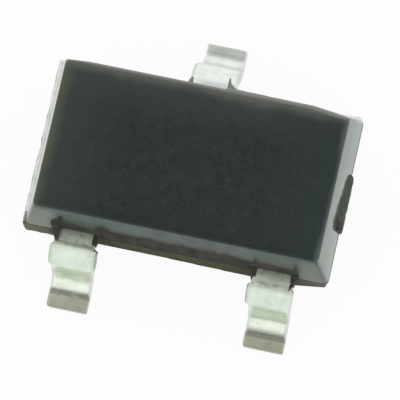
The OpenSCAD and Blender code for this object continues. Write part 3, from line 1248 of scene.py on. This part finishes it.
# %% Bent strip
FRONT_BEND = 0.85
UPPER_BEND = 0.12
LOWER_BEND = 0.15
SLOPE = math.radians(82)
ROLLED_EDGE = 0.014
SHOULDER_SHARES = (0.7, 0.1, 0.1, 0.1)
FOOT_SHARES = (0.3, 0.3, 0.25, 0.15)
UPPER_STEPS = 16
SLOPE_STEPS = 4
LOWER_STEPS = 14
bend_height = frame_under - UPPER_BEND


def bent_strip(name, start, bend_place, plate_depth):
    """Draws the strip out along +Y, from its inner end to the tip of its foot."""
    strip = add(bpy.ops.mesh.primitive_plane_add, name, size=1, rotation=(math.radians(90), 0, 0),
                location=(0, start, frame_top - SHEET / 2))
    strip.scale = (LEAD_WIDTH, SHEET, 1)
    apply_place(strip)
    edit(strip)
    pick_all()
    bpy.ops.mesh.bevel(offset=ROLLED_EDGE, segments=2, affect="VERTICES")
    pick_all()
    draw_out(y=plate_depth)
    for share in SHOULDER_SHARES:
        draw_out(y=(bend_place - start - plate_depth) * share)
    bpy.ops.mesh.spin(steps=UPPER_STEPS, angle=SLOPE, center=(0, bend_place, bend_height), axis=(1, 0, 0))
    radii = UPPER_BEND + SHEET + LOWER_BEND
    run = (bend_height - LOWER_BEND - SHEET + radii * math.cos(SLOPE)) / math.sin(SLOPE)
    for step in range(SLOPE_STEPS):
        draw_out(y=run * math.cos(SLOPE) / SLOPE_STEPS, z=-run * math.sin(SLOPE) / SLOPE_STEPS)
    foot_place = bend_place + radii * math.sin(SLOPE) + run * math.cos(SLOPE)
    bpy.ops.mesh.spin(steps=LOWER_STEPS, angle=-SLOPE, center=(0, foot_place, LOWER_BEND + SHEET),
                      axis=(1, 0, 0))
    for share in FOOT_SHARES:
        draw_out(y=(lead_tip - foot_place) * share)
    face_outwards()
    leave_edit()
    print(name, "slope runs", round(run, 4), "and foot starts at", round(foot_place, 4))
    return strip


# %% [markdown]
# ## Plates and stubs
# Inside the body a lead widens into the plate that carries the die or a wire. On its sides it keeps stubs
# of the dam bar, where the punch cut the bar off. Both are faces of the strip's sides, drawn out
# sideways, and one subdivision at the end rounds every edge a little.

# %% Plates and stubs
SIDEWAYS = 0.1
STUB_END = math.radians(78)
STUB_TAPER = 0.85
BACK_STUB_START = math.radians(2)
FRONT_STUB_START = math.radians(16)
COLLECTOR_STUBS = (0.035, 0.028)
BASE_STUBS = (0.035, 0.03)
EMITTER_STUBS = (0.018, 0.035)
POST_DEPTH = 0.4
PAD_DEPTH = 0.76


def on_side(face, side):
    return side * face.normal.x > SIDEWAYS


def widen_plate(lead, plate_end, reaches):
    edit(lead)
    for side, reach in zip((-1, 1), reaches):
        pick("FACE", lambda f: on_side(f, side) and f.calc_center_median().y < plate_end)
        draw_out(x=side * reach)
    leave_edit()


def leave_stubs(lead, bend_place, stub_start, reaches):
    """Draws the stubs out of the sides of the upper bend, between two angles."""

    def in_stub(face):
        middle = face.calc_center_median()
        out, rise = middle.y - bend_place, middle.z - bend_height
        return rise > 0 and stub_start < math.atan2(out, rise) < STUB_END

    edit(lead)
    for side, reach in zip((-1, 1), reaches):
        pick("FACE", lambda f: on_side(f, side) and in_stub(f))
        draw_out(x=side * reach)
        bpy.ops.transform.resize(value=(1, STUB_TAPER, STUB_TAPER))
    face_outwards()
    leave_edit()


def form_lead(name, start, bend_place, plate_depth, plate_sides, stubs, stub_start):
    """Forms a lead that points to +Y, from its plate inside the body to the tip of its foot."""
    lead = bent_strip(name, start, bend_place, plate_depth)
    widen_plate(lead, start + plate_depth, plate_sides)
    leave_stubs(lead, bend_place, stub_start, stubs)
    finish_modifier(lead, "SUBSURF", levels=2)
    lead.data.materials.append(tin)
    print(name, face_count(lead), "faces")
    return lead


def turn_to_front(lead, side):
    lead.rotation_euler = (0, 0, math.pi)
    lead.location = (side * LEAD_PLACE, 0, 0)
    apply_place(lead)


post_reach_out = -post_low.x - LEAD_PLACE - LEAD_WIDTH / 2
post_reach_in = LEAD_PLACE - LEAD_WIDTH / 2 + post_high.x
pad_reach = pad_high.x - LEAD_WIDTH / 2
collector = form_lead("formed_collector_lead", pad_low.y, FRONT_BEND + BACK_SET_OUT, PAD_DEPTH,
                      (pad_reach, pad_reach), COLLECTOR_STUBS, BACK_STUB_START)
base = form_lead("formed_base_lead", -post_high.y, FRONT_BEND, POST_DEPTH,
                 (post_reach_in, post_reach_out), BASE_STUBS, FRONT_STUB_START)
turn_to_front(base, -1)
emitter = form_lead("formed_emitter_lead", -post_high.y, FRONT_BEND, POST_DEPTH,
                    (post_reach_out, post_reach_in), EMITTER_STUBS, FRONT_STUB_START)
turn_to_front(emitter, 1)

# %% [markdown]
# ## Down to metres and onto the frame
# Each finished piece is brought down to its real size, is shaded smooth except at its sharp edges, and
# takes the place of its solid.

# %% Down to metres
SMOOTH_ANGLE = math.radians(35)
pieces = {"moulded_body": (body, "moulding_compound"), "collector_lead": (collector, "tinned_lead_frame"),
          "base_lead": (base, "tinned_lead_frame"), "emitter_lead": (emitter, "tinned_lead_frame")}
for node, (piece, slot) in pieces.items():
    piece.scale = (MM, MM, MM)
    apply_place(piece)
    bpy.ops.object.shade_smooth_by_angle(angle=SMOOTH_ANGLE)
    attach(piece, "root")
    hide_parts(node)
print("pieces", sorted(pieces))

# %% [markdown]
# ## What the block hides
# The die, the layer that holds it and the two bond wires lie inside the block and stay as the frame made
# them. They get the finish of what they are: polished silicon, silver-filled glue and gold.

# %% Finishes of the hidden pieces
ROUGHNESS_SPREAD = 0.1


def inner_finish(name, dark, light, per_mm, rough, metallic):
    finish = Finish(name)
    cloud = finish.noise(per_mm)
    finish.set("Base Color", mottle(cloud, dark, light))
    finish.set("Roughness", mottle(cloud, grey(rough), grey(rough + ROUGHNESS_SPREAD)))
    finish.set("Metallic", metallic)
    return finish.done()


gold = inner_finish("drawn_gold", (0.8, 0.5, 0.12), (0.95, 0.66, 0.22), per_mm=80, rough=0.18, metallic=1.0)
silicon = inner_finish("polished_silicon", (0.07, 0.08, 0.1), (0.12, 0.13, 0.16),
                       per_mm=30, rough=0.12, metallic=0.6)
glue = inner_finish("silver_glue", (0.3, 0.3, 0.29), (0.5, 0.5, 0.48), per_mm=90, rough=0.5, metallic=0.4)
hidden = {"silicon_die": silicon, "die_attach": glue, "base_bond_wire": gold, "emitter_bond_wire": gold}
for node, material in hidden.items():
    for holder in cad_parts[node].material_slots:
        holder.material = material
print("hidden pieces", sorted(hidden))
